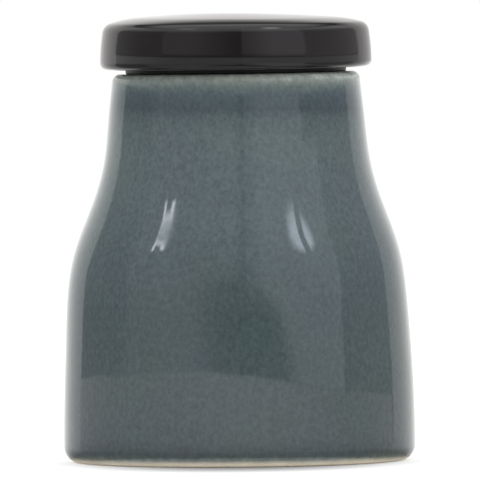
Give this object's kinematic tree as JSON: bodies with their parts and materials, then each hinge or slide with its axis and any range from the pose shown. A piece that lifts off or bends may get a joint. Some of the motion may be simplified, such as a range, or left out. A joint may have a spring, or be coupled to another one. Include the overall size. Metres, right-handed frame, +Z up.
{
  "type": "jar",
  "caption": "Round stoneware storage jar with straight flanks, a sloping shoulder and a wide neck, closed by a thick domed push-in lid with a silicone sealing ring.",
  "frame": {"origin": "on the jar's axis, on the surface that its foot ring stands on", "axes": "+Z up along the axis that every piece is turned about, towards the lid; X and Y are free, because the jar is round"},
  "size_m": [0.14, 0.14, 0.1779],
  "materials": {
    "jar_glaze": "blue-grey reactive glaze, glossy, pale where it breaks over the rim, with a bare cream clay foot",
    "lid_glaze": "warm black glaze, glossy",
    "seal_silicone": "black silicone, matt"
  },
  "bodies": {
    "jar": {"jar_body": "jar_glaze"},
    "lid": {"lid": "lid_glaze", "seal_ring": "seal_silicone"}
  },
  "joints": [
    {"name": "lid_lift", "type": "slide", "parent": "jar", "child": "lid", "axis": [0, 0, 1], "range_m": [0, 0.1]}
  ]
}
